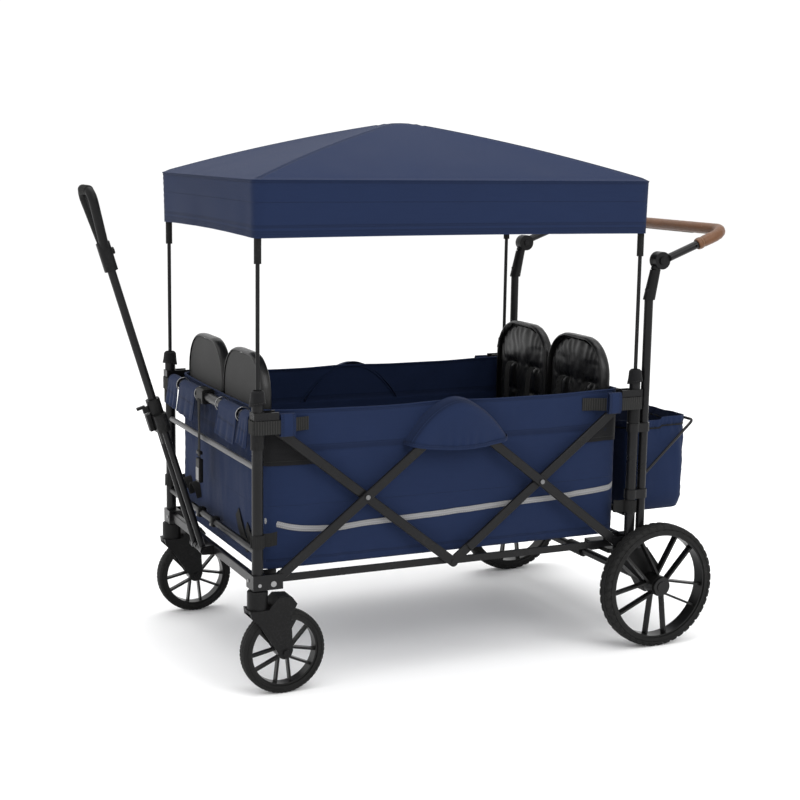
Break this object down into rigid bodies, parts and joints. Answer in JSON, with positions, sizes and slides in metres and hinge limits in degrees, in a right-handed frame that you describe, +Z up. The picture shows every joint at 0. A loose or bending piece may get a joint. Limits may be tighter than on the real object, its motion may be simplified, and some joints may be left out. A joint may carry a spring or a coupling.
{
  "type": "kids pull wagon",
  "caption": "Folding fabric wagon with facing seats, a removable canopy, a front pull handle, a rear push handle, swivel front casters and large rear wheels.",
  "frame": {"origin": "on the ground under the middle of the whole wagon's box", "axes": "+Z up, -X towards the front with the pull handle, +X towards the rear with the push handle, -Y the right side of a wagon seen from behind"},
  "size_m": [1.5054, 0.7912, 1.257],
  "materials": {
    "black_steel": "satin black powder coat",
    "grey_steel": "satin grey paint",
    "bright_steel": "zinc plated",
    "black_plastic": "fine moulded grain",
    "tyre_rubber": "matte rubber",
    "rim_plastic": "moulded",
    "navy_fabric": "woven polyester",
    "black_webbing": "woven webbing",
    "seat_vinyl": "satin faux leather over foam",
    "tan_leather": "smooth stitched leather",
    "mat_fabric": "padded mat"
  },
  "bodies": {
    "front_frame": {"front_posts": "black_steel", "front_post_fittings": "black_plastic", "front_lower_brackets": "black_steel", "front_lower_fasteners": "bright_steel", "front_rails": "black_steel", "front_grey_tube": "grey_steel", "pull_pivot": "black_steel"},
    "front_rising_bars": {"front_rising_bars": "black_steel"},
    "front_falling_bars": {"front_falling_bars": "black_steel"},
    "rear_rising_bars": {"rear_rising_bars": "black_steel"},
    "rear_falling_bars": {"rear_falling_bars": "black_steel"},
    "rear_frame": {"rear_posts": "black_steel", "rear_post_fittings": "black_plastic", "rear_lower_brackets": "black_steel", "rear_lower_fasteners": "bright_steel", "rear_rails": "black_steel", "upright_clamps": "black_steel", "push_joint_sockets": "black_plastic", "rear_basket": "navy_fabric", "rear_basket_frame": "black_steel"},
    "front_top": {"front_top_tubes": "black_steel", "front_top_corners": "black_steel", "tub": "navy_fabric", "floor_mat": "mat_fabric", "front_seats": "seat_vinyl", "fabric_flaps": "navy_fabric", "fold_strap": "black_webbing", "fold_strap_fittings": "black_plastic"},
    "rear_top": {"rear_top_tubes": "black_steel", "rear_top_corners": "black_steel", "rear_seats": "seat_vinyl"},
    "front_half_rails": {"front_half_rails": "black_steel"},
    "rear_half_rails": {"rear_half_rails": "black_steel"},
    "caster_right": {"caster_fork_right": "black_plastic"},
    "caster_left": {"caster_fork_left": "black_plastic"},
    "front_wheel_right": {"front_wheel_right_tyre": "tyre_rubber", "front_wheel_right_rim": "rim_plastic"},
    "front_wheel_left": {"front_wheel_left_tyre": "tyre_rubber", "front_wheel_left_rim": "rim_plastic"},
    "rear_wheel_right": {"rear_wheel_right_tyre": "tyre_rubber", "rear_wheel_right_rim": "rim_plastic"},
    "rear_wheel_left": {"rear_wheel_left_tyre": "tyre_rubber", "rear_wheel_left_rim": "rim_plastic"},
    "brake": {"brake_pedal": "black_plastic"},
    "push_handle": {"push_bar": "black_steel", "push_grip": "tan_leather"},
    "push_button_right": {"push_button_right": "black_plastic"},
    "push_button_left": {"push_button_left": "black_plastic"},
    "pull_handle": {"pull_lower_tubes": "black_steel", "pull_coupling": "black_plastic"},
    "pull_extension": {"pull_upper_tube": "black_steel", "pull_grip": "black_plastic"},
    "pull_button": {"pull_grip_button": "black_plastic"},
    "canopy_front": {"canopy_rods_front": "black_steel", "canopy_sleeves_front": "black_plastic", "canopy_cover": "navy_fabric", "canopy_stays": "black_steel"},
    "canopy_rear": {"canopy_rods_rear": "black_steel", "canopy_sleeves_rear": "black_plastic"}
  },
  "joints": [
    {"name": "fold", "type": "hinge", "parent": "front_frame", "child": "front_rising_bars", "pos_m": [-0.4258, 0, 0.253], "axis": [0, -1, 0], "range_deg": [0, 38.5], "deforming": ["tub", "floor_mat", "front_seats", "fabric_flaps", "rear_seats", "canopy_cover", "canopy_stays"]},
    {"name": "front_cross", "type": "hinge", "parent": "front_rising_bars", "child": "front_falling_bars", "pos_m": [-0.2028, 0, 0.427], "axis": [0, -1, 0], "range_deg": [-77, 0]},
    {"name": "centre_hinge", "type": "hinge", "parent": "front_falling_bars", "child": "rear_rising_bars", "pos_m": [0.0202, 0, 0.253], "axis": [0, -1, 0], "range_deg": [0, 77]},
    {"name": "rear_cross", "type": "hinge", "parent": "rear_rising_bars", "child": "rear_falling_bars", "pos_m": [0.2432, 0, 0.427], "axis": [0, -1, 0], "range_deg": [-77, 0]},
    {"name": "rear_foot", "type": "hinge", "parent": "rear_falling_bars", "child": "rear_frame", "pos_m": [0.4662, 0, 0.253], "axis": [0, -1, 0], "range_deg": [0, 38.5]},
    {"name": "front_head", "type": "hinge", "parent": "front_falling_bars", "child": "front_top", "pos_m": [-0.4258, 0, 0.601], "axis": [0, -1, 0], "range_deg": [0, 38.5]},
    {"name": "rear_head", "type": "hinge", "parent": "rear_rising_bars", "child": "rear_top", "pos_m": [0.4662, 0, 0.601], "axis": [0, -1, 0], "range_deg": [-38.5, 0]},
    {"name": "front_rail_fold", "type": "hinge", "parent": "front_frame", "child": "front_half_rails", "pos_m": [-0.4258, 0, 0.253], "axis": [0, -1, 0], "range_deg": [0, 72.73]},
    {"name": "rear_rail_fold", "type": "hinge", "parent": "rear_frame", "child": "rear_half_rails", "pos_m": [0.4662, 0, 0.253], "axis": [0, -1, 0], "range_deg": [-72.73, 0]},
    {"name": "caster_swivel_right", "type": "hinge", "parent": "front_frame", "child": "caster_right", "pos_m": [-0.4578, -0.328, 0.198], "axis": [0, 0, 1], "continuous": true},
    {"name": "caster_swivel_left", "type": "hinge", "parent": "front_frame", "child": "caster_left", "pos_m": [-0.4578, 0.328, 0.198], "axis": [0, 0, 1], "continuous": true},
    {"name": "front_wheel_spin_right", "type": "hinge", "parent": "caster_right", "child": "front_wheel_right", "pos_m": [-0.3998, -0.328, 0.096], "axis": [0, 1, 0], "continuous": true},
    {"name": "front_wheel_spin_left", "type": "hinge", "parent": "caster_left", "child": "front_wheel_left", "pos_m": [-0.3998, 0.328, 0.096], "axis": [0, 1, 0], "continuous": true},
    {"name": "rear_wheel_spin_right", "type": "hinge", "parent": "rear_frame", "child": "rear_wheel_right", "pos_m": [0.5562, -0.367, 0.152], "axis": [0, 1, 0], "continuous": true},
    {"name": "rear_wheel_spin_left", "type": "hinge", "parent": "rear_frame", "child": "rear_wheel_left", "pos_m": [0.5562, 0.367, 0.152], "axis": [0, 1, 0], "continuous": true},
    {"name": "brake_press", "type": "hinge", "parent": "rear_frame", "child": "brake", "pos_m": [0.5562, 0, 0.152], "axis": [0, 1, 0], "range_deg": [0, 18]},
    {"name": "push_tilt", "type": "hinge", "parent": "rear_frame", "child": "push_handle", "pos_m": [0.5552, 0, 0.939], "axis": [0, -1, 0], "range_deg": [-85, 50]},
    {"name": "push_button_right", "type": "slide", "parent": "push_handle", "child": "push_button_right", "axis": [0, 1, 0], "range_m": [0, 0.004], "stiffness_N_per_m": 200, "springref_m": -0.002},
    {"name": "push_button_left", "type": "slide", "parent": "push_handle", "child": "push_button_left", "axis": [0, -1, 0], "range_m": [0, 0.004], "stiffness_N_per_m": 200, "springref_m": -0.002},
    {"name": "pull_tilt", "type": "hinge", "parent": "front_frame", "child": "pull_handle", "pos_m": [-0.4868, 0, 0.258], "axis": [0, -1, 0], "range_deg": [-10, 78]},
    {"name": "pull_extend", "type": "slide", "parent": "pull_handle", "child": "pull_extension", "axis": [-0.2924, 0, 0.9563], "range_m": [-0.19, 0]},
    {"name": "pull_grip_button", "type": "slide", "parent": "pull_extension", "child": "pull_button", "axis": [-0.9563, 0, -0.2924], "range_m": [0, 0.002], "stiffness_N_per_m": 300, "springref_m": -0.002},
    {"name": "canopy_lift", "type": "slide", "parent": "front_top", "child": "canopy_front", "axis": [0, 0, 1], "range_m": [-0.23, 0.12]},
    {"name": "canopy_lift_rear", "type": "slide", "parent": "rear_top", "child": "canopy_rear", "axis": [0, 0, 1], "range_m": [-0.23, 0.12]}
  ],
  "couplings": [
    {"joint": "front_cross", "follows": "fold", "ratio": -2},
    {"joint": "centre_hinge", "follows": "fold", "ratio": 2},
    {"joint": "rear_cross", "follows": "fold", "ratio": -2},
    {"joint": "rear_foot", "follows": "fold", "ratio": 1},
    {"joint": "front_head", "follows": "fold", "ratio": 1},
    {"joint": "rear_head", "follows": "fold", "ratio": -1},
    {"joint": "front_rail_fold", "follows": "fold", "ratio": 1.8891},
    {"joint": "rear_rail_fold", "follows": "fold", "ratio": -1.8891},
    {"joint": "canopy_lift_rear", "follows": "canopy_lift", "ratio": 1}
  ]
}
